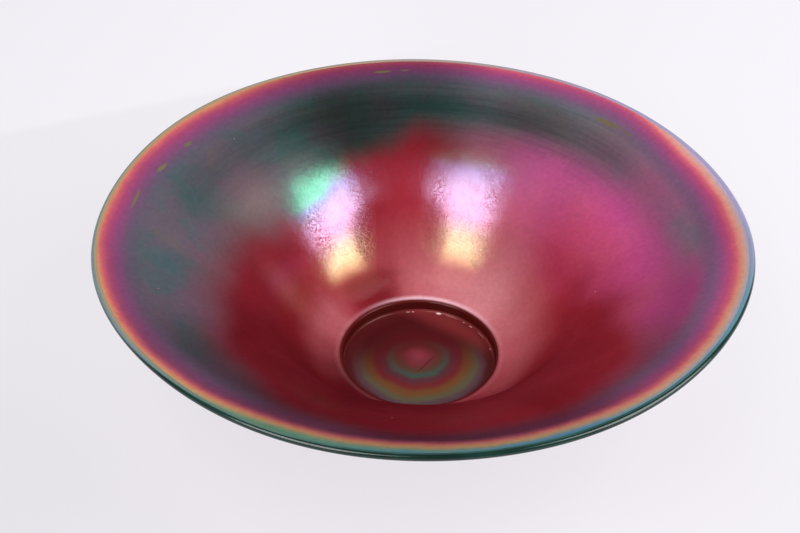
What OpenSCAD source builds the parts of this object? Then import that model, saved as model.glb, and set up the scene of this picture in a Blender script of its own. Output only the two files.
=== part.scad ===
// Flared art glass bowl, free standing.
// Hot-joined glass pieces, all concentric with the Z axis:
//   bowl_body   ruby shell, from the collar up through the cup and the wide flare
//   lip_wrap    dark green bead fused round the edge of the flare
//   base_disc   thick disc that closes the well
//   foot_ring   collar foot that the bowl stands on
//   pontil_pad  ground-down punty glass under the disc
// Frame: millimetres, +Z up, origin on the standing plane under the bowl's axis.

/* [Bowl] */
// Outside diameter over the lip
bowl_d = 380; // [340:1:420]
// Height from the standing plane to the top of the lip
bowl_h = 122.6; // [112:0.1:132]
// Radius where the flare turns down into the cup
knee_r = 97; // [90:1:104]
// How far the knee lies below the edge of the flare
knee_drop = 56.4; // [52:0.1:60]
// Slope of the flare where it meets the lip, in degrees
flare_angle = 19; // [15:0.5:23]
// Slope of the wall at the knee, in degrees
knee_angle = 47.5; // [45:0.5:50]

/* [Glass thickness] */
// Thickness at the lip
lip_t = 3.4; // [2.6:0.1:4.6]
// Thickness at the knee
knee_t = 5.2; // [4:0.1:6.4]

/* [Well] */
// Diameter of the round well in the bottom
well_d = 97; // [92:0.5:100]
// Depth of the well below its rounded edge
well_depth = 8; // [6:0.1:10]
// Radius of the well's rounded edge
well_edge_r = 1.6; // [1:0.1:2]
// How far the middle of the floor is domed up
floor_dome = 0.8; // [0:0.1:1.4]
// Size of the cove between the floor and the wall of the well
floor_cove = 1.5; // [0.5:0.1:2]

/* [Lip] */
// Radial length of the bead before it rounds off
bead_len = 1.4; // [0.8:0.1:2.4]

/* [Base and foot] */
// Thickness of the disc that closes the well
disc_t = 5.5; // [4.5:0.1:7]
// Depth of the recess inside the collar foot
foot_recess = 4; // [3:0.1:5]
// Outside diameter of the collar foot where it meets the bowl
collar_d = 109; // [107:0.5:112]
// Outside diameter of the collar foot at its tread
tread_d = 106; // [104:0.5:107]
// Inside diameter of the collar foot
foot_bore_d = 90; // [86:0.5:92]
// Radius of the tread's rounded edges
tread_edge_r = 1.2; // [0.6:0.1:1.6]
// Diameter of the ground pontil pad
pontil_d = 31; // [24:0.5:38]
// Thickness of the pontil pad
pontil_t = 1.4; // [0.8:0.1:2]

/* [Hidden] */
$fn = 96;

well_r = well_d / 2;
collar_r = collar_d / 2;
tread_r = tread_d / 2;
foot_bore_r = foot_bore_d / 2;
disc_r = well_r + 1.5;
floor_z = foot_recess + disc_t;
edge_z = floor_z + well_depth;

// Unit vector at an angle above the outward radius.
function dir(a) = [cos(a), sin(a)];
// Unit vector square to that, pointing down and outward.
function under(a) = [sin(a), -cos(a)];
// Point on a cubic curve.
function cubic(p, t) = pow(1 - t, 3) * p[0] + 3 * t * pow(1 - t, 2) * p[1]
    + 3 * t * t * (1 - t) * p[2] + t * t * t * p[3];
function curve(p, n, first = 0) = [for (i = [first : n]) cubic(p, i / n)];
// Points along a circular arc.
function arc(c, r, a0, a1, n) = [for (i = [0 : n]) c + r * dir(a0 + (a1 - a0) * i / n)];

// The bead: a short straight stretch in line with the flare, then a half round.
bead_c = [bowl_d / 2 - lip_t / 2, 0];
bead_c_z = bowl_h - lip_t / 2;
bead = [bead_c[0], bead_c_z];
edge_mid = bead - bead_len * dir(flare_angle);
edge_top = edge_mid - lip_t / 2 * under(flare_angle);
edge_bot = edge_mid + lip_t / 2 * under(flare_angle);

// Upper surface of the shell: flare, then cup, then the well's rounded edge.
knee_in = [knee_r, edge_top[1] - knee_drop];
shoulder_in = [well_r + well_edge_r + 0.4, edge_z];
shoulder_angle = 11;
flare_in = [edge_top, edge_top - 47 * dir(flare_angle),
            knee_in + 13 * dir(knee_angle), knee_in];
cup_in = [knee_in, knee_in - 20.5 * dir(knee_angle),
          shoulder_in + 21 * dir(shoulder_angle), shoulder_in];

// Under surface of the shell, from the collar foot up to the lip.
knee_out = knee_in + knee_t * under(knee_angle);
collar_top = [collar_r, floor_z];
flare_out = [knee_out, knee_out + 24.5 * dir(knee_angle),
             edge_bot - 34 * dir(flare_angle), edge_bot];
cup_out = [collar_top, collar_top + 38 * dir(35),
           knee_out - 23.4 * dir(knee_angle), knee_out];

// Ruby glass shell: one wall with the thickness of the glass.
module bowl_body() {
    color([0.56, 0.08, 0.19])
    rotate_extrude($fn = 128)
        polygon(concat(
            curve(flare_in, 22),
            curve(cup_in, 22, 1),
            arc([well_r + well_edge_r, edge_z - well_edge_r], well_edge_r, 90, 180, 5),
            [[well_r, floor_z]],
            curve(cup_out, 18),
            curve(flare_out, 22, 1)));
}

// Dark green bead, fused edge to edge with the shell.
module lip_wrap() {
    color([0.05, 0.20, 0.19])
    rotate_extrude($fn = 128)
        polygon(concat(
            [edge_top, edge_bot],
            arc(bead, lip_t / 2, flare_angle - 90, flare_angle + 90, 14)));
}

// Thick disc with a domed floor, a cove at its rim and a flat underside.
module base_disc() {
    cove_r = well_r - floor_cove;
    color([0.42, 0.07, 0.13])
    rotate_extrude($fn = 96)
        polygon(concat(
            [[0, foot_recess], [disc_r, foot_recess], [disc_r, floor_z], [well_r, floor_z]],
            arc([cove_r, floor_z + floor_cove], floor_cove, 0, -90, 5),
            [for (i = [1 : 12]) let (r = cove_r * (1 - i / 12))
                [r, floor_z + floor_dome * (1 + cos(180 * r / cove_r)) / 2]]));
}

// Collar foot: it holds the disc's edge and stands on a flat annular tread.
module foot_ring() {
    e = tread_edge_r;
    color([0.36, 0.05, 0.10])
    rotate_extrude($fn = 96)
        polygon(concat(
            [[disc_r, foot_recess], [disc_r, floor_z], [collar_r, floor_z]],
            [for (i = [1 : 7]) let (s = i / 8)
                [collar_r + (tread_r - collar_r) * s - 1.1 * sin(180 * s),
                 floor_z + (e - floor_z) * s]],
            arc([tread_r - e, e], e, 0, -90, 5),
            arc([foot_bore_r + e, e], e, -90, -180, 5),
            [[foot_bore_r, foot_recess]]));
}

// Pontil pad: a low round pad, ground to a shallow dish, clear of the table.
module pontil_pad() {
    r = pontil_d / 2;
    z0 = foot_recess - pontil_t;
    color([0.45, 0.12, 0.20])
    rotate_extrude($fn = 64)
        polygon(concat(
            [[0, foot_recess], [r, foot_recess], [r - 0.5, z0 + 0.3], [r - 1.1, z0]],
            [for (i = [1 : 8]) let (q = (r - 1.1) * (1 - i / 8))
                [q, z0 + 0.6 * (1 - pow(q / (r - 1.1), 2))]]));
}

bowl_body();
lip_wrap();
base_disc();
foot_ring();
pontil_pad();
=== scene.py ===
# Flared ruby lustre bowl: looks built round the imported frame. Metres, +Z up, origin under the bowl's axis.
import math

import bmesh
import bpy
import numpy as np
from mathutils import Matrix, Vector


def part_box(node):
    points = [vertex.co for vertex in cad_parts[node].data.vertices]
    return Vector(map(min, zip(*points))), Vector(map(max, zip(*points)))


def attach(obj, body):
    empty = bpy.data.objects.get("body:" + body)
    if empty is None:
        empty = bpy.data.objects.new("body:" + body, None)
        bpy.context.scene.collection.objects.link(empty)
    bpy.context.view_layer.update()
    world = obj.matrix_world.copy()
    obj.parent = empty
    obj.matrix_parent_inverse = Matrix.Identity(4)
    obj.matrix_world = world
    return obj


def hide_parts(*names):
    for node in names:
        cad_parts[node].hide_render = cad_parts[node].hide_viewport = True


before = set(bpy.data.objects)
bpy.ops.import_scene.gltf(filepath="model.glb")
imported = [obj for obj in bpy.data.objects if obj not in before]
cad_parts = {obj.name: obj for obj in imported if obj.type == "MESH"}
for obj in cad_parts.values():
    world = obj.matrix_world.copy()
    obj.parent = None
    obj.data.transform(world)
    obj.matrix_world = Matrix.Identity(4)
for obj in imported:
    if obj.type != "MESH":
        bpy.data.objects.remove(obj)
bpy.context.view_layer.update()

# ------------------------------------------------------------------ camera
shell_lo, shell_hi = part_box("bowl_body")
lip_lo, lip_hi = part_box("lip_wrap")
foot_lo, foot_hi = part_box("foot_ring")
disc_lo, disc_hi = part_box("base_disc")
pad_lo, pad_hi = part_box("pontil_pad")
R_RIM = 0.190
Z_RIM = lip_hi[2] - 0.0017

cam_data = bpy.data.cameras.new("camera")
cam_data.sensor_fit = "HORIZONTAL"
cam_data.sensor_width = 36.0
cam_data.lens = 36.0 * 1253.92 / 800.0
cam_data.clip_start = 0.01
cam_data.clip_end = 60.0
camera = bpy.data.objects.new("camera", cam_data)
bpy.context.scene.collection.objects.link(camera)


def place_camera():
    elev, roll = 0.67157, 0.01073
    ce, se, cr, sr = math.cos(elev), math.sin(elev), math.cos(roll), math.sin(roll)
    # world axes written in camera coordinates (x right, y down, z forward)
    rows = [(1, 0, 0), (0, -se, ce), (0, -ce, -se)]
    rolled = [(cr * x - sr * y, sr * x + cr * y, z) for x, y, z in rows]
    right = Vector([q[0] for q in rolled])
    down = Vector([q[1] for q in rolled])
    fwd = Vector([q[2] for q in rolled])
    t = (0.068453, -0.144797, 3.848722)
    pos = -(right * t[0] + down * t[1] + fwd * t[2]) * R_RIM
    pos.z += Z_RIM
    m = Matrix.Identity(4)
    for i in range(3):
        m[i][0], m[i][1], m[i][2], m[i][3] = right[i], -down[i], -fwd[i], pos[i]
    camera.matrix_world = m


place_camera()
bpy.context.scene.camera = camera

# ------------------------------------------------------------------ profile of the bowl (mm)
D2R = math.pi / 180.0


def along(a):
    return np.array([math.cos(a * D2R), math.sin(a * D2R)])


def under(a):
    return np.array([math.sin(a * D2R), -math.cos(a * D2R)])


def cubic(p, t):
    t = np.asarray(t, float)[:, None]
    p = [np.asarray(q, float) for q in p]
    return (1 - t) ** 3 * p[0] + 3 * t * (1 - t) ** 2 * p[1] + 3 * t * t * (1 - t) * p[2] + t ** 3 * p[3]


def arc(c, r, a0, a1, n):
    return np.array([np.asarray(c, float) + r * along(a0 + (a1 - a0) * i / n) for i in range(n + 1)])


BOWL_D, BOWL_H = 380.0, 122.6
KNEE_R, KNEE_DROP, FLARE_A, KNEE_A = 97.0, 56.4, 19.0, 47.5
LIP_T, KNEE_T, WELL_R, WELL_DEPTH, WELL_EDGE = 3.4, 5.2, 48.5, 8.0, 1.6
BEAD_LEN, FOOT_RECESS, DISC_T, COLLAR_R = 1.4, 4.0, 5.5, 54.5
FLOOR_Z = FOOT_RECESS + DISC_T
EDGE_Z = FLOOR_Z + WELL_DEPTH
bead_c = np.array([BOWL_D / 2 - LIP_T / 2, BOWL_H - LIP_T / 2])
edge_mid = bead_c - BEAD_LEN * along(FLARE_A)
edge_top = edge_mid - LIP_T / 2 * under(FLARE_A)
edge_bot = edge_mid + LIP_T / 2 * under(FLARE_A)
knee_in = np.array([KNEE_R, edge_top[1] - KNEE_DROP])
shoulder = np.array([WELL_R + WELL_EDGE + 0.4, EDGE_Z])
flare_in = [edge_top, edge_top - 47 * along(FLARE_A), knee_in + 13 * along(KNEE_A), knee_in]
cup_in = [knee_in, knee_in - 20.5 * along(KNEE_A), shoulder + 21 * along(11), shoulder]
knee_out = knee_in + KNEE_T * under(KNEE_A)
collar_top = np.array([COLLAR_R, FLOOR_Z])
flare_out = [knee_out, knee_out + 24.5 * along(KNEE_A), edge_bot - 34 * along(FLARE_A), edge_bot]
cup_out = [collar_top, collar_top + 38 * along(35), knee_out - 23.4 * along(KNEE_A), knee_out]


# ------------------------------------------------------------------ hand-made irregularity (mm)
def rim_out(az):
    """How far the rim stands inside the true circle, in mm: slightly out of round, never outside it."""
    w = (0.39 * np.cos(3 * az + 0.89) + 0.17 * np.cos(4 * az + 0.12) + 0.37 * np.cos(5 * az + 1.19)
         + 0.15 * np.cos(6 * az - 0.68) + 0.30 * np.cos(7 * az + 1.22))
    return w - 1.10


def rim_dip(az):
    return -0.45 + 0.28 * np.cos(2 * az + 0.6) + 0.15 * np.cos(3 * az - 1.1)


def ripples(r, az):
    """Low tool rings and slow waves left by shaping the flare."""
    rings = 0.07 * np.sin(r / 1.9 + 0.6 * np.sin(az)) * np.exp(-((r - 163) / 16.0) ** 2)
    slow = 0.16 * np.sin(3 * az + r / 23.0) * np.sin(r / 31.0) + 0.10 * np.sin(7 * az - r / 17.0 + 1.0)
    return (rings + slow) * np.clip((r - 60) / 40.0, 0, 1) * np.clip((188 - r) / 10.0, 0, 1)


def warp(r, z, az, share=1.0):
    """Moves a point of the ideal bowl to where the hand-made one has it. share is 1 on the flare and lip."""
    k = np.clip((r - 60.0) / 130.0, 0, 1) ** 2.2 * share
    return r + rim_out(az) * k, z + rim_dip(az) * k + ripples(r, az) * share


def lathe(name, rings, seg, closed=True, share=1.0, cap0=False, cap1=False, sharp=()):
    """Turns a list of (r, z) points in mm round Z. closed joins the last ring to the first.
    cap0 and cap1 close the first and last ring with a fan to the axis."""
    rings = np.asarray(rings, float)
    n = len(rings)
    az = np.arange(seg) * 2 * math.pi / seg
    A, _ = np.meshgrid(az, np.arange(n))
    Rr, Zz = warp(rings[:, :1] + 0 * A, rings[:, 1:] + 0 * A, A, share)
    co = np.stack([Rr * np.cos(A), Rr * np.sin(A), Zz], -1).reshape(-1, 3) / 1000.0
    verts = [tuple(c) for c in co]
    faces = []
    last = n if closed else n - 1
    for i in range(last):
        j = (i + 1) % n
        for s in range(seg):
            t = (s + 1) % seg
            faces.append((i * seg + s, i * seg + t, j * seg + t, j * seg + s))
    if cap0:
        verts.append((0, 0, rings[0][1] / 1000.0))
        c = len(verts) - 1
        faces += [(c, (s + 1) % seg, s) for s in range(seg)]
    if cap1:
        verts.append((0, 0, rings[-1][1] / 1000.0))
        c = len(verts) - 1
        b = (n - 1) * seg
        faces += [(c, b + s, b + (s + 1) % seg) for s in range(seg)]
    me = bpy.data.meshes.new(name)
    me.from_pydata(verts, [], faces)
    bm = bmesh.new()
    bm.from_mesh(me)
    bmesh.ops.recalc_face_normals(bm, faces=bm.faces[:])
    bm.verts.ensure_lookup_table()
    ring_of = {}
    for i in sharp:
        for s in range(seg):
            ring_of[i * seg + s] = i
    for e in bm.edges:
        a, b = ring_of.get(e.verts[0].index, -1), ring_of.get(e.verts[1].index, -2)
        e.smooth = a != b
    for f in bm.faces:
        f.smooth = True
    bm.to_mesh(me)
    bm.free()
    ob = bpy.data.objects.new(name, me)
    bpy.context.scene.collection.objects.link(ob)
    return ob


# ------------------------------------------------------------------ film fields
def periodic(table, az):
    """Smooth periodic interpolation of {azimuth in degrees: value} at az in radians."""
    keys = sorted(table)
    x = np.array([keys[-1] - 360] + keys + [keys[0] + 360], float)
    y = np.array([table[keys[-1]]] + [table[k] for k in keys] + [table[keys[0]]], float)
    a = (np.degrees(az) + 180) % 360 - 180
    a = np.where(a < x[0], a + 360, a)
    i = np.clip(np.searchsorted(x, a, side="right") - 1, 0, len(x) - 2)
    t = (a - x[i]) / (x[i + 1] - x[i])
    t = t * t * (3 - 2 * t)
    return y[i] + (y[i + 1] - y[i]) * t


def smooth(a, b, x):
    t = np.clip((x - a) / (b - a), 0, 1)
    return t * t * (3 - 2 * t)


# how far the rim's colour bands are shifted inward, as a share of the rim's radius
BAND_SHIFT = {-160: .004, -135: .016, -110: .044, -90: .044, -70: .042, -45: .032, -20: .024, 0: .022, 20: .020,
              45: -.016, 70: -.010, 90: -.010, 110: -.006, 135: .010, 155: .004, 180: .000}
# radius where the film fades into clear ruby, and how soft that edge is
FILM_EDGE = {-160: .69, -135: .775, -110: .87, -90: .89, -70: .88, -45: .83, -20: .71, 0: .62, 20: .55, 45: .52,
             70: .66, 90: .735, 100: .675, 112: .65, 128: .55, 138: .53, 150: .57, 165: .63, 180: .665}
# how softly it fades there
FILM_SOFT = {-180: .11, -135: .09, -90: .05, -45: .08, -20: .13, 0: .17, 30: .17, 60: .13, 90: .07, 110: .05, 138: .05,
             155: .10}
# share of green and of magenta in the film's broad zone
GREEN = {-160: .1, -135: 0, -90: 0, -45: 0, 0: 0, 20: .2, 40: .75, 58: .90, 75: .60, 90: .64, 110: .82, 128: .55,
         138: .40, 150: .30, 180: .15}
MAGENTA = {-160: .18, -135: .46, -110: .5, -90: .5, -70: .6, -45: .8, -20: 1.0, 0: 1.0, 20: 1.0, 45: .85, 58: .70, 70: .52,
           90: .18, 110: 0, 135: 0, 150: .20, 165: .10, 180: .05}
# painted shading: how light the film looks at each azimuth, darkest at the front
FILM_PAINTED_SHADING = {-160: 1.12, -135: .72, -110: .55, -90: .48, -70: .60, -45: .95, -20: 1.3, 0: 1.3, 20: 1.35, 45: 1.4, 70: 1.06,
         90: .74, 110: .66, 135: 1.03, 150: 1.08, 180: 1.22}
# and the painted shading of its magenta part
ROSE_PAINTED_SHADING = {-160: 1.2, -110: .6, -90: .55, -45: 1.0, -20: 1.5, 0: 1.72, 20: 1.76, 45: 1.40, 70: 1.2, 90: .8, 135: 1.0}
# how far the slate band reaches in over the magenta
SLATE = {-90: 0, -20: 0, 0: .12, 20: .42, 35: .8, 50: .95, 90: 1.0, 180: 1.0}
# painted shading: how light the bands at the rim look at each azimuth, darkest at the front
RIM_PAINTED_SHADING = {-160: 1.34, -135: 1.17, -110: .78, -90: .70, -70: .84, -45: 1.2, -20: 1.4, 0: 1.5, 20: 1.8, 45: 1.7,
             70: 1.6, 90: .80, 110: .82, 135: 1.28, 150: 1.40, 180: 1.42}
# and how much of that the film keeps inside the orange line: more painted shade, darkest at the front
RIM_INNER_PAINTED_SHADE = {-180: .95, -160: .90, -135: .80, -110: .54, -90: .28, -70: .38, -45: .85, -20: 1.12, 0: .92, 20: .84, 45: .92, 180: .95}
RIM_MUTE = {-180: .10, -160: .25, -135: .45, -110: .42, -90: .40, -70: .30, -45: .15, 0: 0, 45: .12, 70: 0, 180: .10}

# where the gloss turns from lilac to mint early
MINT = {-180: 0, 60: 0, 110: 0, 120: .30, 129: .9, 138: 1.1, 152: .9, 168: .1}
# how heavy the film's mirror is
LUSTRE = {-180: .085, -130: .04, -90: .045, -40: .07, 0: .09, 30: .16, 46: .25, 54: .32, 58.5: .58, 62: .84, 83: .84, 86.5: .52, 91: .22,
          105: .15, 110.5: .18, 114: .62, 117.5: .94, 135: .94, 138.5: .68, 143: .30, 150: .20, 158: .14, 168: .10}
# painted shading of the ruby: darker toward the front and the left, lighter at the right; then a painted glow, paler
# pink round the well
RUBY_PAINTED_SHADING = {-160: .42, -135: .40, -110: .33, -90: .37, -70: .52, -45: .67, -20: .84, 0: 1.0, 20: 1.14, 45: 1.22, 70: .98,
        90: .88, 110: .74, 135: .86, 160: .66, 180: .56}
PAINTED_GLOW = {-180: .16, -160: .06, -140: 0, -120: 0, -90: 0, -60: .04, -30: .20, 0: .38, 20: .60, 45: 1.04, 70: .78, 88: .54, 98: .40,
        106: .24, 114: .20, 132: .18, 144: .24, 152: .40, 162: .36}
PAINTED_GLOW_REACH = {-90: .40, -30: .43, 0: .47, 20: .50, 45: .60, 70: .54, 90: .52, 112: .52, 135: .42, 150: .43}


def crazed(deg, s):
    """Patches where the film is crazed: azimuth and radius of each, with its half sizes and depth."""
    out = np.zeros_like(s)
    for a0, s0, da, ds, k in CRAZED:
        out = np.maximum(out, k * np.exp(-(((deg - a0 + 180) % 360 - 180) / da) ** 2 - ((s - s0) / ds) ** 2))
    return out


CRAZED = (
    (136, 0.518, 5.4, 0.035, 1.00), (135, 0.473, 3.9, 0.030, 1.00), (114, 0.524, 2.6, 0.050, 1.00), (113, 0.467, 2.6, 0.040, 1.00),
    (124, 0.668, 7.0, 0.035, 0.80), (113, 0.617, 4.6, 0.035, 0.80), (83, 0.533, 3.1, 0.060, 1.00), (86, 0.452, 3.9, 0.035, 1.00),
    (61, 0.554, 3.1, 0.060, 1.00), (59, 0.467, 3.9, 0.045, 1.00), (64, 0.638, 4.6, 0.040, 0.80))


def film_fields(co):
    r = np.hypot(co[:, 0], co[:, 1]) * 1000
    az = np.arctan2(co[:, 1], co[:, 0])
    k = np.clip((r - 60.0) / 130.0, 0, 1) ** 2.2
    s = (r - rim_out(az) * k) / 190.0
    edge, soft = periodic(FILM_EDGE, az), periodic(FILM_SOFT, az)
    deg = np.degrees(az)
    left = np.clip(np.cos(az - 130 * D2R) * 1.6, 0, 1)
    # a slate patch on the right, and a darker wedge behind the well: painted shade that darkens the ruby and cuts the
    # gloss and the painted glow there
    blob = np.exp(-((deg - 2) / 10.0) ** 2 - ((s - .832) / .056) ** 2)
    painted_shade_wedge = np.exp(-((deg - 122) / 19.0) ** 4) * smooth(.40, .35, s)
    back = np.clip(np.sin(az), 0, 1)
    slate = periodic(SLATE, az) * smooth(.69, .80, s)
    out = {
        "band": np.clip((1 - s - periodic(BAND_SHIFT, az) + 0.05) / 0.25, 0, 1),
        "film": smooth(edge - 1.1 * soft, edge + 0.9 * soft, s),
        "film_green": np.clip(periodic(GREEN, az) * smooth(.95, .87, s) * (0.35 + 0.65 * np.maximum(smooth(.66, .80, s), left)), 0, 1),
        "film_magenta": np.clip(periodic(MAGENTA, az) * (1 - 0.80 * blob) * (1 - slate), 0, 1),
        # painted shading of the film, lighter near the rim at the back
        "film_painted_shading": periodic(FILM_PAINTED_SHADING, az) * (1 + 0.30 * back * smooth(.80, .88, s)),
        "rose_warm": np.exp(-((deg - 22) / 26.0) ** 2) * smooth(.72, .60, s),
        # painted shading of the magenta film, lighter further in
        "rose_painted_shading": periodic(ROSE_PAINTED_SHADING, az) * (0.70 + 0.48 * smooth(.81, .63, s)),
        # painted halo: a lighter grey-olive patch beside the left highlight
        "painted_halo": np.exp(-((deg - 150) / 11.0) ** 2 - ((s - .64) / .075) ** 2),
        "brushed": np.clip(back * 1.4 - 0.25, 0, 1) * smooth(.62, .74, s),
        "rim_violet": periodic({-180: 0, -90: 0, -60: .20, -35: .50, -20: .50, 0: .75, 20: 1.0, 30: 1.0, 55: .8, 80: .4, 100: 0}, az),
        "rim_blue": periodic({-180: 0, -112: 0, -88: .25, -72: .80, -52: .75, -34: .35, -16: .08, 0: 0, 90: 0}, az),
        "rim_green": periodic({-180: .35, -165: .60, -140: .85, -118: .80, -104: .35, -92: 0, 0: 0, 120: 0, 160: .15}, az),
        # painted shading of the rim's bands
        "rim_painted_shading": periodic(RIM_PAINTED_SHADING, az),
        "rim_inner_painted_shade": periodic(RIM_INNER_PAINTED_SHADE, az),
        "rim_mute": periodic(RIM_MUTE, az),
        "radius": s,
        "tint": s + 0.10 * periodic(MINT, az) * smooth(.485, .600, s) - 0.004 * np.clip(np.cos(az - 70 * D2R), 0, 1) ** 4
        + 0.009 * np.exp(-((deg - 139) / 8.0) ** 2),
        "lustre": smooth(.362, .424, s) * periodic(LUSTRE, az) * (1 + 0.10 * smooth(.47, .44, s)) * (1 - 0.75 * smooth(.610, .675, s)) * (1 - 0.7 * painted_shade_wedge) * (1 - 0.8 * np.exp(-((deg - 107) / 11) ** 2) * smooth(.58, .65, s))
        + 1.0 * np.exp(-((s - .268) / .0055) ** 2) * (0.08 + 0.85 * np.exp(-((deg - 78) / 46.0) ** 2)),
        "craze": crazed(deg, s),
        # painted highlight along the back of the well's rounded edge
        "well_edge": np.exp(-((s - .2735) / .0060) ** 2) * (0.05 + 0.95 * np.exp(-((deg - 78) / 40.0) ** 2)),
        # painted shade on the well's wall
        "well_wall": smooth(.268, .262, s),
        # painted shading of the ruby, darker still in the wedge, high on the back wall and by the well at the front
        # left
        "ruby_painted_shading": periodic(RUBY_PAINTED_SHADING, az) * (1 - 0.30 * painted_shade_wedge) * (1 - 0.50 * back * smooth(.52, .72, s))
        * (1 - 0.30 * np.exp(-((deg + 142) / 26.0) ** 2) * smooth(.37, .29, s)),
        # painted glow: paler pink glass colour round the well
        "painted_glow": periodic(PAINTED_GLOW, az) * smooth(periodic(PAINTED_GLOW_REACH, az), .33, s) * smooth(.258, .268, s) * (1 - painted_shade_wedge)
        + 0.14 * np.exp(-((deg - 168) / 7.0) ** 2 - ((s - .47) / .06) ** 2),
    }
    return out


def put_fields(ob, fields):
    for key, values in fields.items():
        at = ob.data.attributes.new(key, "FLOAT", "POINT")
        at.data.foreach_set("value", np.asarray(values, np.float32))


def coords(ob):
    co = np.empty(len(ob.data.vertices) * 3, np.float32)
    ob.data.vertices.foreach_get("co", co)
    return co.reshape(-1, 3).astype(float)


# ------------------------------------------------------------------ node helpers
def srgb(h):
    c = [int(h[i:i + 2], 16) / 255 for i in (0, 2, 4)]
    return tuple(x / 12.92 if x <= 0.04045 else ((x + 0.055) / 1.055) ** 2.4 for x in c) + (1.0,)


class Mat:
    def __init__(self, name):
        self.m = bpy.data.materials.new(name)
        self.m.use_nodes = True
        self.t = self.m.node_tree
        self.t.nodes.clear()

    def node(self, kind, **kw):
        n = self.t.nodes.new(kind)
        for k, v in kw.items():
            setattr(n, k, v)
        return n

    def link(self, a, b):
        self.t.links.new(a, b)

    def put(self, sock, v):
        if isinstance(v, bpy.types.NodeSocket):
            self.link(v, sock)
        else:
            sock.default_value = v

    def attr(self, name):
        n = self.node("ShaderNodeAttribute", attribute_name=name)
        return n.outputs["Fac"]

    def math(self, op, a, b=0.0, c=0.0, clamp=False):
        n = self.node("ShaderNodeMath", operation=op, use_clamp=clamp)
        self.put(n.inputs[0], a)
        self.put(n.inputs[1], b)
        self.put(n.inputs[2], c)
        return n.outputs[0]

    def mix(self, fac, a, b, blend="MIX"):
        n = self.node("ShaderNodeMix", data_type="RGBA", blend_type=blend)
        self.put(n.inputs[0], fac)
        self.put(n.inputs[6], a)
        self.put(n.inputs[7], b)
        return n.outputs[2]

    def scale(self, col, k):
        n = self.node("ShaderNodeVectorMath", operation="SCALE")
        self.put(n.inputs[0], col)
        self.put(n.inputs["Scale"], k)
        return n.outputs[0]

    def ramp(self, fac, stops, mode="EASE"):
        n = self.node("ShaderNodeValToRGB")
        n.color_ramp.interpolation = mode
        el = n.color_ramp.elements
        while len(el) > 1:
            el.remove(el[-1])
        el[0].position, el[0].color = stops[0]
        for p, c in stops[1:]:
            e = el.new(p)
            e.color = c
        self.put(n.inputs[0], fac)
        return n.outputs[0]

    def step(self, x, a, b):
        n = self.node("ShaderNodeMapRange", interpolation_type="SMOOTHSTEP")
        self.put(n.inputs["Value"], x)
        self.put(n.inputs["From Min"], a)
        self.put(n.inputs["From Max"], b)
        return n.outputs["Result"]

    def noise(self, vec, scale, detail=3.0, rough=0.5, distort=0.0):
        n = self.node("ShaderNodeTexNoise")
        self.put(n.inputs["Vector"], vec)
        n.inputs["Scale"].default_value = scale
        n.inputs["Detail"].default_value = detail
        n.inputs["Roughness"].default_value = rough
        n.inputs["Distortion"].default_value = distort
        return n.outputs["Fac"]

    def coord(self):
        return self.node("ShaderNodeTexCoord").outputs["Object"]

    def radial(self, co, around, along_r):
        """Coordinates for streaks that run down the slope: direction times around, distance times along_r."""
        sep = self.node("ShaderNodeSeparateXYZ")
        self.link(co, sep.inputs[0])
        x, y = sep.outputs[0], sep.outputs[1]
        rho = self.math("SQRT", self.math("ADD", self.math("MULTIPLY", x, x), self.math("MULTIPLY", y, y)))
        rho = self.math("MAXIMUM", rho, 0.004)
        n = self.node("ShaderNodeCombineXYZ")
        self.put(n.inputs[0], self.math("MULTIPLY", self.math("DIVIDE", x, rho), around))
        self.put(n.inputs[1], self.math("MULTIPLY", self.math("DIVIDE", y, rho), around))
        self.put(n.inputs[2], self.math("MULTIPLY", rho, along_r))
        return n.outputs[0]

    def fleck(self, co, az, r, length, width, tilt=0.0):
        """1 inside a small drawn-out mark at azimuth az (degrees) and radius r (mm), 0 outside."""
        a, b = az * D2R, (az + 90 + tilt) * D2R
        off = self.node("ShaderNodeVectorMath", operation="SUBTRACT")
        self.link(co, off.inputs[0])
        off.inputs[1].default_value = (r / 1000 * math.cos(a), r / 1000 * math.sin(a), 0)
        parts = []
        for ang, size in ((b, length / 2000), (b + math.pi / 2, width / 2000)):
            d = self.node("ShaderNodeVectorMath", operation="DOT_PRODUCT")
            self.link(off.outputs[0], d.inputs[0])
            d.inputs[1].default_value = (math.cos(ang) / size, math.sin(ang) / size, 0)
            parts.append(self.math("POWER", d.outputs["Value"], 2.0))
        return self.step(self.math("ADD", parts[0], parts[1]), 1.3, 0.25)

    def bump(self, height, strength, dist, normal=None):
        n = self.node("ShaderNodeBump")
        n.inputs["Strength"].default_value = strength
        n.inputs["Distance"].default_value = dist
        self.put(n.inputs["Height"], height)
        if normal is not None:
            self.link(normal, n.inputs["Normal"])
        return n.outputs["Normal"]

    def principled(self, **kw):
        n = self.node("ShaderNodeBsdfPrincipled")
        for k, v in kw.items():
            self.put(n.inputs[k.replace("_", " ")], v)
        return n

    def out(self, shader):
        o = self.node("ShaderNodeOutputMaterial")
        self.link(shader, o.inputs["Surface"])
        return self.m


# ------------------------------------------------------------------ materials
def rim_ramp(m, band):
    """Interference colours in order from the lip inward: blue-green, tan, orange, rose, magenta, violet, slate."""
    def at(p):
        return (p + 0.05) / 0.25
    return m.ramp(band, [
        (at(-.032), srgb("5894a0")), (at(-.016), srgb("72a494")), (at(-.005), srgb("a09a78")), (at(.005), srgb("c8996c")),
        (at(.016), srgb("ce8068")), (at(.028), srgb("c45c68")), (at(.046), srgb("ac4872")), (at(.068), srgb("8e4a76")),
        (at(.095), srgb("705270")), (at(.130), srgb("5c5468"))], "LINEAR")


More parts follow.
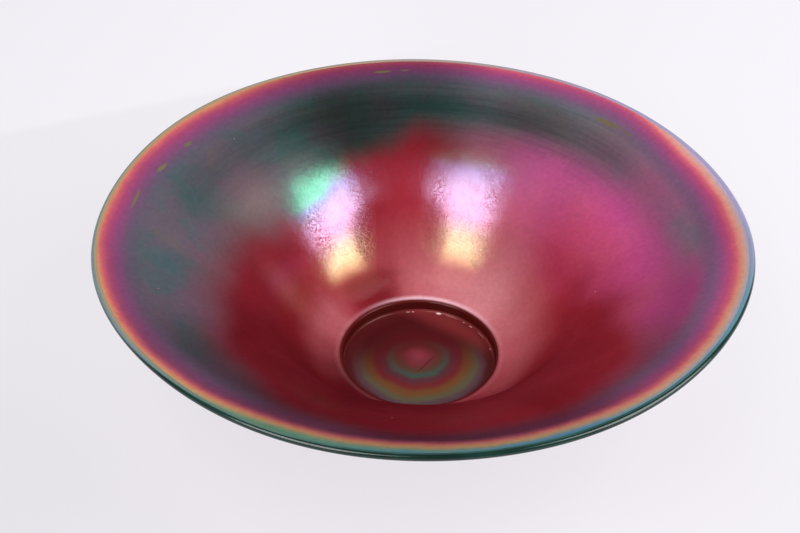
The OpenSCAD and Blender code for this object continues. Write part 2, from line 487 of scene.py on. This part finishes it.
def crackled(m, co, strength=0.20):
    """Very fine crackle and pitting of a fumed film, as a bump."""
    fine = m.noise(co, 900.0, 4.0, 0.7, 1.4)
    cells = m.node("ShaderNodeTexVoronoi", feature="DISTANCE_TO_EDGE")
    m.link(co, cells.inputs["Vector"])
    cells.inputs["Scale"].default_value = 620.0
    lines = m.step(cells.outputs["Distance"], 0.0, 0.10)
    pits = m.step(m.noise(co, 330.0, 2.0, 0.5, 0.8), 0.30, 0.42)
    h = m.math("ADD", m.math("MULTIPLY", fine, 0.55), m.math("ADD", m.math("MULTIPLY", lines, 0.25), m.math("MULTIPLY", pits, 0.25)))
    tears = m.step(m.noise(co, 760.0, 4.0, 0.75, 0.8), 0.530, 0.556)
    h = m.math("SUBTRACT", h, m.math("MULTIPLY", m.math("MULTIPLY", tears, m.attr("craze")), 1.6))
    return m.bump(h, strength, 0.0003)


def lustre_material():
    m = Mat("ruby_lustre_glass")
    co = m.coord()
    slow = m.noise(co, 14.0, 3.0, 0.55, 0.4)
    mid = m.noise(co, 60.0, 4.0, 0.6, 0.6)
    wob = m.math("SUBTRACT", slow, 0.5)
    wob2 = m.math("SUBTRACT", mid, 0.5)
    band = m.math("ADD", m.attr("band"), m.math("ADD", m.math("MULTIPLY", wob, 0.10), m.math("MULTIPLY", wob2, 0.05)))
    rim = rim_ramp(m, band)
    rim = m.mix(m.math("MULTIPLY", m.attr("rim_violet"), m.step(band, 0.255, 0.170)), rim, srgb("a29ac0"))

    def at(p):
        return (p + 0.05) / 0.25
    inner = m.step(band, at(.018), at(.050))
    rosy = m.math("MULTIPLY", m.step(band, 0.16, 0.20), m.step(band, 0.33, 0.26))
    rim = m.mix(m.math("MULTIPLY", m.math("MULTIPLY", m.attr("rim_violet"), rosy), 0.40), rim, srgb("bc8c98"))
    rim = m.mix(m.math("MULTIPLY", m.attr("rim_blue"), m.step(band, 0.20, 0.11)), rim, srgb("4c84b2"))
    rim = m.mix(m.math("MULTIPLY", m.attr("rim_green"), m.step(band, 0.19, 0.12)), rim, srgb("6c9466"))
    rim = m.mix(m.math("MULTIPLY", m.attr("rim_mute"), inner), rim, srgb("5e4c60"))
    # painted shade: the film inside the orange line darkened, most at the front
    rim = m.scale(rim, m.math("SUBTRACT", 1.0, m.math("MULTIPLY", inner, m.math("SUBTRACT", 1.0, m.attr("rim_inner_painted_shade")))))
    far = m.step(band, at(.080), at(.150))
    soft = m.noise(co, 17.0, 3.0, 0.50, 0.35)
    soft2 = m.noise(co, 31.0, 3.0, 0.55, 0.25)
    fine = m.noise(m.radial(co, 2.6, 420.0), 1.0, 4.0, 0.65, 0.2)
    zone = m.mix(m.step(soft, 0.40, 0.62), srgb("665a68"), srgb("4c5c62"))
    zone = m.mix(m.math("MULTIPLY", m.step(soft2, 0.50, 0.66), 0.45), zone, srgb("3c6668"))
    zone = m.mix(m.math("MULTIPLY", m.step(soft2, 0.46, 0.32), 0.35), zone, srgb("6e6258"))
    zone = m.mix(m.attr("film_green"), zone, m.mix(m.step(soft, 0.38, 0.64), srgb("3a3c3c"), srgb("2c4c42")))
    # painted halo beside the left highlight
    zone = m.mix(m.math("MULTIPLY", m.attr("painted_halo"), 0.75), zone, srgb("7c7c74"))
    # painted shading of the film
    zone = m.scale(zone, m.attr("film_painted_shading"))
    rose = m.mix(m.step(soft, 0.36, 0.66), srgb("963c6c"), srgb("9c4668"))
    rose = m.mix(m.math("MULTIPLY", m.attr("rose_warm"), 0.60), rose, srgb("94364e"))
    # magenta film, with its painted shading
    zone = m.mix(m.attr("film_magenta"), zone, m.scale(rose, m.attr("rose_painted_shading")))
    zone = m.scale(zone, m.math("ADD", 1.0, m.math("MULTIPLY", m.math("MULTIPLY", m.math("SUBTRACT", fine, 0.5), m.attr("brushed")), 0.9)))
    # rim bands and film zone, each with its painted shading
    film = m.mix(far, m.scale(rim, m.attr("rim_painted_shading")), m.scale(zone, m.attr("film_painted_shading")))
    ruby = m.mix(m.step(slow, 0.3, 0.7), srgb("962430"), srgb("a42c3a"))
    # painted shading of the ruby
    ruby = m.scale(ruby, m.attr("ruby_painted_shading"))
    # painted glow: paler pink round the well
    ruby = m.mix(m.attr("painted_glow"), ruby, srgb("ce8088"))
    thin = m.math("MULTIPLY", m.attr("film"), m.math("SUBTRACT", 1.0, m.attr("film")))
    share = m.math("ADD", m.attr("film"), m.math("MULTIPLY", m.math("MULTIPLY", wob, thin), 2.4), clamp=True)
    base = m.mix(share, ruby, film)
    # painted shade: the well's wall darkened
    base = m.mix(m.attr("well_wall"), base, srgb("521614"))
    # painted highlight: pinkish white along the back of the well's edge
    base = m.mix(m.attr("well_edge"), base, srgb("f4c8d4"))
    grain = m.noise(co, 300.0, 3.0, 0.7, 0.3)
    base = m.scale(base, m.math("ADD", 0.80, m.math("MULTIPLY", grain, 0.40)))
    nrm = crackled(m, co)
    for az, r, length, width, tilt, tone in (
            (43.5, 169.5, 24, 3.0, 1, "867a38"), (37.5, 169.5, 9, 1.6, -3, "86743a"), (172.5, 173, 20, 1.9, 2, "83864a"),
            (160.5, 171, 11, 2.6, -4, "8c8a4c"), (150.5, 171, 8, 2.8, 0, "7c8450"), (98.5, 177.5, 13, 1.8, 0, "76803c"),
            (93.5, 178, 7, 1.4, 0, "6c7a44"), (61.5, 76.4, 10, 3.4, -38, "84444c")):
        base = m.mix(m.math("MULTIPLY", m.fleck(co, az, r, length, width, tilt), 0.75), base, srgb(tone))
    seeds = m.node("ShaderNodeTexVoronoi", feature="F1")
    m.link(co, seeds.inputs["Vector"])
    seeds.inputs["Scale"].default_value = 75.0
    chosen = m.node("ShaderNodeSeparateColor")
    m.link(seeds.outputs["Color"], chosen.inputs[0])
    dust = m.math("MULTIPLY", m.step(seeds.outputs["Distance"], 0.045, 0.02), m.step(chosen.outputs[0], 0.80, 0.82))
    base = m.mix(m.math("MULTIPLY", dust, 0.6), base, srgb("c9a0a4"))
    body = m.principled(Base_Color=base, Metallic=m.math("MULTIPLY", share, 0.35), Roughness=0.30, IOR=1.45, Normal=nrm)
    body.inputs["Specular IOR Level"].default_value = 0.0
    tint = m.ramp(m.attr("tint"), [
        (.29, srgb("ffdce4")), (.37, srgb("dcb080")), (.405, srgb("f6dca4")), (.425, srgb("fae8b8")), (.442, srgb("fbe8c4")),
        (.458, srgb("fcd8da")), (.478, srgb("fac4ec")), (.52, srgb("e8ccff")),
        (.56, srgb("d2c6f6")), (.605, srgb("b0bcf8")), (.650, srgb("8ce4c8")), (.70, srgb("70d4ac")), (.80, srgb("5c8c80"))],
        "LINEAR")
    veins = m.node("ShaderNodeTexVoronoi", feature="DISTANCE_TO_EDGE")
    m.link(co, veins.inputs["Vector"])
    veins.inputs["Scale"].default_value = 300.0
    veins = m.math("MULTIPLY", m.step(veins.outputs["Distance"], 0.09, 0.03), m.step(m.noise(co, 130.0, 3.0, 0.6, 0.4), 0.47, 0.58))
    specks = m.step(m.noise(co, 420.0, 4.0, 0.7, 0.5), 0.58, 0.66)
    tears = m.step(m.noise(co, 760.0, 4.0, 0.75, 0.8), 0.530, 0.556)
    worn = m.math("MAXIMUM", m.math("MULTIPLY", m.math("MAXIMUM", veins, specks), 0.28), m.math("MULTIPLY", tears, m.attr("craze")))
    gloss = m.principled(Base_Color=tint, Metallic=1.0, Roughness=0.06, Normal=nrm)
    mixer = m.node("ShaderNodeMixShader")
    share_g = m.math("ADD", 0.012, m.math("MULTIPLY", m.attr("lustre"), 0.235))
    m.put(mixer.inputs[0], m.math("MULTIPLY", share_g, m.math("SUBTRACT", 1.0, worn, clamp=True)))
    m.link(body.outputs[0], mixer.inputs[1])
    m.link(gloss.outputs[0], mixer.inputs[2])
    return m.out(mixer.outputs[0])


def outside_material():
    """The under side: bare ruby glass, deeper where it is thick, with a breath of film near the lip."""
    m = Mat("ruby_glass_outside")
    co = m.coord()
    slow = m.noise(co, 9.0, 3.0, 0.55, 0.4)
    r = m.attr("radius")
    wob = m.math("MULTIPLY", m.math("SUBTRACT", slow, 0.5), 0.12)
    q = m.math("ADD", r, wob)
    col = m.ramp(q, [(.26, srgb("2c040b")), (.34, srgb("460810")), (.48, srgb("640a18")), (.70, srgb("78101f")),
                     (.87, srgb("701c32")), (.95, srgb("622a46")), (.985, srgb("3a383f"))], "LINEAR")
    streak = m.noise(co, 4.0, 5.0, 0.6, 2.5)
    col = m.mix(m.math("MULTIPLY", m.step(streak, 0.45, 0.75), 0.22), col, srgb("8c1c34"))
    lines = m.noise(co, 120.0, 2.0, 0.5, 0.2)
    nrm = m.bump(m.math("ADD", m.math("MULTIPLY", lines, 0.3), slow), 0.10, 0.0006)
    p = m.principled(Base_Color=col, Metallic=0.0, Roughness=0.12, IOR=1.34, Coat_Weight=0.20, Coat_Roughness=0.03, Normal=nrm)
    return m.out(p.outputs[0])


def lip_material():
    """Green glass bead: nearly black outside and below, with the film's first colours on its crown."""
    m = Mat("green_lip_glass")
    co = m.coord()
    n = m.noise(co, 40.0, 3.0, 0.5, 0.3)
    dark = m.mix(m.step(n, 0.3, 0.7), srgb("0e2420"), srgb("16352e"))
    crown = m.mix(m.step(m.attr("around"), 0.86, 1.0), srgb("76868a"), srgb("a8906c"))
    crown = m.mix(m.attr("lip_violet"), crown, srgb("a49cc2"))
    crown = m.mix(m.attr("lip_front_tint_and_painted_shade"), crown, srgb("3a7068"))
    crown = m.mix(m.attr("lip_blue"), crown, srgb("5c9cb4"))
    edge = m.math("ADD", m.attr("around"), m.math("MULTIPLY", m.math("SUBTRACT", n, 0.5), 0.10))
    # toward the front the dark part is painted further up the crown: painted shade
    up = m.step(m.math("SUBTRACT", edge, m.math("MULTIPLY", m.attr("lip_front_tint_and_painted_shade"), 0.50)), 0.42, 0.62)
    col = m.mix(up, dark, crown)
    p = m.principled(Base_Color=col, Roughness=0.16, IOR=1.45, Coat_Weight=0.22, Coat_Roughness=0.05,
                     Normal=m.bump(m.noise(co, 160.0, 2.0, 0.5, 0.0), 0.16, 0.0003))
    return m.out(p.outputs[0])


def plain_glass(name, a, b, rough=0.08, coat=1.0, scale=40.0):
    m = Mat(name)
    co = m.coord()
    n = m.noise(co, scale, 3.0, 0.5, 0.3)
    col = m.mix(m.step(n, 0.3, 0.7), srgb(a), srgb(b))
    p = m.principled(Base_Color=col, Roughness=rough, IOR=1.52, Coat_Weight=coat, Coat_Roughness=0.03,
                     Normal=m.bump(m.noise(co, 160.0, 2.0, 0.5, 0.0), 0.15, 0.0002))
    return m.out(p.outputs[0])


def floor_glass():
    m = Mat("well_floor_glass")
    co = m.coord()
    sep = m.node("ShaderNodeSeparateXYZ")
    m.link(co, sep.inputs[0])
    r = m.math("POWER", m.math("ADD", m.math("POWER", sep.outputs[0], 2.0), m.math("POWER", sep.outputs[1], 2.0)), 0.5)
    # the rings lie a little off centre, toward the back
    yo = m.math("SUBTRACT", sep.outputs[1], 0.0035)
    ro = m.math("POWER", m.math("ADD", m.math("POWER", sep.outputs[0], 2.0), m.math("POWER", yo, 2.0)), 0.5)
    fill = m.math("MINIMUM", m.math("DIVIDE", r, 0.0485), 1.0)
    ro = m.math("ADD", m.math("MULTIPLY", r, fill), m.math("MULTIPLY", ro, m.math("SUBTRACT", 1.0, fill)))
    n = m.noise(co, 55.0, 3.0, 0.5, 0.3)
    q = m.math("ADD", m.math("MULTIPLY", ro, 1.0 / 0.0485), m.math("MULTIPLY", m.math("SUBTRACT", n, 0.5), 0.14))
    ring = m.ramp(q, [(.0, srgb("94404c")), (.16, srgb("7e3a40")), (.27, srgb("5c4638")), (.36, srgb("3c5a50")),
                      (.45, srgb("5c343e")), (.55, srgb("742a2e")), (.66, srgb("744c2c")), (.76, srgb("605a44")),
                      (.84, srgb("5c444c")), (.92, srgb("562428")), (1.0, srgb("602224"))], "EASE")
    dark = m.ramp(q, [(.0, srgb("86323e")), (.25, srgb("5a1a1e")), (.45, srgb("541418")), (.6, srgb("4c1618")),
                      (.75, srgb("4a1216")), (.88, srgb("52181a")), (1.0, srgb("5c1c1e"))], "EASE")
    # painted reflection: the film's rings show on the front half of the floor only; the back half is dark ruby
    front = m.step(m.math("ADD", m.math("MULTIPLY", sep.outputs[1], -20.0), m.math("MULTIPLY", sep.outputs[0], 3.0)), -0.45, 0.55)
    col = m.mix(front, dark, ring)
    toward_back = m.math("ADD", m.math("MULTIPLY", sep.outputs[0], 0.57), m.math("MULTIPLY", sep.outputs[1], 0.82))
    col = m.mix(m.math("MULTIPLY", m.step(toward_back, 0.026, 0.042), 0.6), col, srgb("94383a"))
    col = m.mix(m.math("MULTIPLY", m.fleck(co, -44, 6.4, 19, 1.3, 7), 0.55), col, srgb("3c161e"))
    # painted highlights: small glints painted where the cove turns up
    for az, length, width, share in ((73.5, 3.6, 1.6, .85), (75, 1.6, 1.0, .5), (98.5, 2.6, .8, .42), (94.5, 1.6, .9, .5), (43.5, 2.8, 1.0, .42),
                                     (51, 2.0, .8, .36), (13.5, 2.4, .8, .26), (31, 8.0, .6, .20), (62, 10.0, .6, .18)):
        col = m.mix(m.math("MULTIPLY", m.fleck(co, az, 47.3, length, width), share), col, srgb("ffe4e4"))
    # bare ruby underneath
    col = m.mix(m.step(sep.outputs[2], 0.0085, 0.0070), col, m.mix(m.step(n, 0.3, 0.7), srgb("3c0a14"), srgb("4c101c")))
    p = m.principled(Base_Color=col, Metallic=0.1, Roughness=0.26, IOR=1.45, Coat_Weight=0.12, Coat_Roughness=0.05,
                     Normal=m.bump(m.math("SINE", m.math("MULTIPLY", r, 700.0)), 0.05, 0.0002))
    p.inputs["Specular IOR Level"].default_value = 0.2
    return m.out(p.outputs[0])


# ------------------------------------------------------------------ the five glass pieces
SEG = 320


def dense(n, power=1.0):
    return np.linspace(0, 1, n) ** power


inner_flare = cubic(flare_in, dense(86, 1.35))
inner_cup = cubic(cup_in, dense(48))[1:]
well_edge = arc([WELL_R + WELL_EDGE, EDGE_Z - WELL_EDGE], WELL_EDGE, 90, 180, 8)
well_wall = np.array([[WELL_R, EDGE_Z - WELL_EDGE - 2.0], [WELL_R, FLOOR_Z + 2.2], [WELL_R, FLOOR_Z]])
outer_cup = cubic(cup_out, dense(30))
outer_flare = cubic(flare_out, dense(40))[1:]
rings = np.concatenate([inner_flare, inner_cup, well_edge, well_wall, outer_cup, outer_flare])
n_in = len(inner_flare) + len(inner_cup) + len(well_edge) + len(well_wall)
shell = lathe("bowl_shell", rings, SEG, sharp=(0, n_in - 1, n_in, len(rings) - 1))
put_fields(shell, film_fields(coords(shell)))
shell.data.materials.append(lustre_material())
shell.data.materials.append(outside_material())
for f in shell.data.polygons:
    # faces from the first outer ring on are the under side
    lowest = min(v // SEG for v in f.vertices)
    f.material_index = 1 if lowest >= n_in or max(v // SEG for v in f.vertices) == len(rings) - 1 and lowest > 0 else 0

bead_pts = np.concatenate([[edge_top], [edge_bot], arc(bead_c, LIP_T / 2, FLARE_A - 90, FLARE_A + 90, 18)])
lip = lathe("lip_bead", bead_pts, SEG, sharp=(0, 1))
lip_co = coords(lip)
lip_az = np.arctan2(lip_co[:, 1], lip_co[:, 0])
ring_no = np.arange(len(lip_co)) // SEG
turn = np.concatenate([[1.0, 0.0], np.linspace(0, 1, 19)])
put_fields(lip, {
    "around": turn[ring_no],
    "lip_violet": periodic({-180: 0, -110: .2, -60: .6, -30: .9, 0: 1.0, 40: .9, 62: .6, 84: .3, 110: .1, 150: 0}, lip_az),
    "lip_blue": periodic({-180: 0, -62: 0, -40: .32, -24: .48, -8: .12, 6: 0, 90: 0}, lip_az),
    # toward the front: a teal crown tint, and painted shade on the bead
    "lip_front_tint_and_painted_shade": periodic({-180: 0, -150: .2, -120: .8, -90: 1.0, -60: .98, -42: .90, -26: .70, -10: .30, 4: .05, 30: 0, 150: 0}, lip_az),
})
lip.data.materials.append(lip_material())

cove_r = WELL_R - 1.5
disc_pts = [[0.001, FOOT_RECESS], [WELL_R + 1.5, FOOT_RECESS], [WELL_R + 1.5, FLOOR_Z], [WELL_R, FLOOR_Z]]
disc_pts = [[12.0, FOOT_RECESS], [30.0, FOOT_RECESS]] + disc_pts[1:]
disc_pts += list(arc([cove_r, FLOOR_Z + 1.5], 1.5, 0, -90, 7))
for i in range(1, 40):
    q = cove_r * (1 - i / 40)
    disc_pts.append([q, FLOOR_Z + 0.8 * (1 + math.cos(math.pi * q / cove_r)) / 2])
disc = lathe("well_floor", disc_pts, 192, closed=False, share=0.0, cap0=True, cap1=True, sharp=(2, 3, 4))
disc.data.materials.append(floor_glass())

tread_r, bore_r, e = 53.0, 45.0, 1.2
foot_pts = [[WELL_R + 1.5, FOOT_RECESS], [WELL_R + 1.5, FLOOR_Z], [COLLAR_R, FLOOR_Z]]
for i in range(1, 16):
    s = i / 16
    foot_pts.append([COLLAR_R + (tread_r - COLLAR_R) * s - 1.1 * math.sin(math.pi * s), FLOOR_Z + (e - FLOOR_Z) * s])
foot_pts += list(arc([tread_r - e, e], e, 0, -90, 7)) + list(arc([bore_r + e, e], e, -90, -180, 7)) + [[bore_r, FOOT_RECESS]]
foot = lathe("collar_foot", foot_pts, 192, share=0.0, sharp=(0, 1, 2, len(foot_pts) - 1))
foot.data.materials.append(plain_glass("foot_glass", "5a0f1c", "701826", 0.1))

pad_r, z0 = 15.5, FOOT_RECESS - 1.4
pad_pts = [[5.0, FOOT_RECESS], [pad_r, FOOT_RECESS], [pad_r - 0.5, z0 + 0.3], [pad_r - 1.1, z0]]
for i in range(1, 14):
    q = (pad_r - 1.1) * (1 - i / 14)
    pad_pts.append([q, z0 + 0.6 * (1 - (q / (pad_r - 1.1)) ** 2)])
pad = lathe("pontil_mark", pad_pts, 96, closed=False, share=0.0, cap0=True, cap1=True, sharp=(1, 3))
pad.data.materials.append(plain_glass("pontil_glass", "7a2c3e", "8c3a4a", 0.25, 0.3))

for piece, node, slot in ((shell, "bowl_body", "ruby_lustre_glass"), (lip, "lip_wrap", "green_lip_glass"),
                          (disc, "base_disc", "well_floor_glass"), (foot, "foot_ring", "foot_glass"),
                          (pad, "pontil_pad", "pontil_glass")):
    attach(piece, "root")
    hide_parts(node)

# ------------------------------------------------------------------ floor, light
bm = bmesh.new()
bmesh.ops.create_circle(bm, cap_ends=True, radius=9.0, segments=96)
me = bpy.data.meshes.new("table")
bm.to_mesh(me)
bm.free()
table = bpy.data.objects.new("table", me)
table.location = (0, 0, -0.0002)
bpy.context.scene.collection.objects.link(table)
tm = Mat("table_white")
tn = tm.noise(tm.coord(), 3.0, 2.0, 0.5, 0.0)
tcol = tm.mix(tn, (0.150, 0.145, 0.155, 1), (0.158, 0.153, 0.163, 1))
# the backdrop glows evenly, with painted light and shade on it: paler toward the back right, darker at the front
# corners, and one soft painted edge of tone at the back left
tsep = tm.node("ShaderNodeSeparateXYZ")
tm.link(tm.coord(), tsep.inputs[0])
painted_backdrop_shading = tm.math("ADD", tm.math("MULTIPLY", tsep.outputs[0], 0.11), tm.math("MULTIPLY", tsep.outputs[1], 0.08))
# painted shade at the front corners
painted_corner_shade = tm.math("MULTIPLY", tm.math("MULTIPLY", tsep.outputs[0], tsep.outputs[0]), tm.step(tsep.outputs[1], 0.05, -0.20))
painted_backdrop_shading = tm.math("SUBTRACT", painted_backdrop_shading, tm.math("MULTIPLY", tm.math("MINIMUM", painted_corner_shade, 0.2), 1.2))
# a soft painted edge of lighter tone at the back left
painted_tone_edge_line = tm.math("ADD", tm.math("MULTIPLY", tsep.outputs[0], -0.43), tsep.outputs[1])
edge = tm.math("MULTIPLY", tm.step(painted_tone_edge_line, 0.412, 0.430), tm.step(tsep.outputs[0], 0.10, -0.15))
# away from the bowl the sweep is even
dist = tm.math("SQRT", tm.math("ADD", tm.math("MULTIPLY", tsep.outputs[0], tsep.outputs[0]), tm.math("MULTIPLY", tsep.outputs[1], tsep.outputs[1])))
near = tm.step(dist, 1.15, 0.72)
painted_backdrop_shading = tm.math("MULTIPLY", tm.math("MAXIMUM", tm.math("MINIMUM", painted_backdrop_shading, 0.09), -0.11), near)
edge = tm.math("MULTIPLY", edge, near)
glow = tm.math("ADD", tm.math("ADD", 0.772, painted_backdrop_shading, clamp=True), tm.math("MULTIPLY", edge, 0.05))
tp = tm.principled(Base_Color=tcol, Roughness=0.8, Emission_Color=tm.scale((0.94, 0.915, 0.97), glow), Emission_Strength=1.0)
table.data.materials.append(tm.out(tp.outputs[0]))


def area(name, loc, target, size, power, color=(1, 1, 1), size_y=None):
    d = bpy.data.lights.new(name, "AREA")
    d.energy = power
    d.color = color
    d.size = size
    if size_y:
        d.shape = "RECTANGLE"
        d.size_y = size_y
    o = bpy.data.objects.new(name, d)
    o.location = loc
    o.rotation_euler = (Vector(target) - Vector(loc)).to_track_quat("-Z", "Y").to_euler()
    bpy.context.scene.collection.objects.link(o)
    return o


def toward(az, el, dist):
    a, e = az * D2R, el * D2R
    return (dist * math.cos(e) * math.cos(a), dist * math.cos(e) * math.sin(a), dist * math.sin(e))


left = area("softbox_right_front", toward(-14, 43.5, 1.3), (0, 0, 0), 0.78, 14.5, (1, 0.99, 0.98), 1.06)
right = area("softbox_left_front", toward(-131, 51, 1.3), (0, 0, 0), 0.72, 12.5, (1, 0.99, 0.98), 0.98)
for o in (left, right):
    o.data.shape = "RECTANGLE"

world = bpy.data.worlds.new("studio")
world.use_nodes = True
wt = world.node_tree
wt.nodes.clear()
seen = wt.nodes.new("ShaderNodeBackground")
seen.inputs[0].default_value = (0.86, 0.84, 0.90, 1)
seen.inputs[1].default_value = 1.0
room = wt.nodes.new("ShaderNodeBackground")
room.inputs[0].default_value = (0.95, 0.95, 1.0, 1)
# a dim room, paler near the horizon, where the sweep of the backdrop is
geo = wt.nodes.new("ShaderNodeTexCoord")
sep = wt.nodes.new("ShaderNodeSeparateXYZ")
fade = wt.nodes.new("ShaderNodeMapRange")
fade.interpolation_type = "SMOOTHSTEP"
fade.inputs["From Min"].default_value = 0.02
fade.inputs["From Max"].default_value = 0.30
fade.inputs["To Min"].default_value = 0.50
fade.inputs["To Max"].default_value = 0.085
wt.links.new(geo.outputs["Generated"], sep.inputs[0])
wt.links.new(sep.outputs[2], fade.inputs["Value"])
wt.links.new(fade.outputs["Result"], room.inputs[1])
path = wt.nodes.new("ShaderNodeLightPath")
pick = wt.nodes.new("ShaderNodeMixShader")
wo = wt.nodes.new("ShaderNodeOutputWorld")
wt.links.new(path.outputs["Is Camera Ray"], pick.inputs[0])
wt.links.new(room.outputs[0], pick.inputs[1])
wt.links.new(seen.outputs[0], pick.inputs[2])
wt.links.new(pick.outputs[0], wo.inputs["Surface"])
bpy.context.scene.world = world
bpy.context.scene.view_settings.view_transform = "Standard"

bpy.context.view_layer.update()
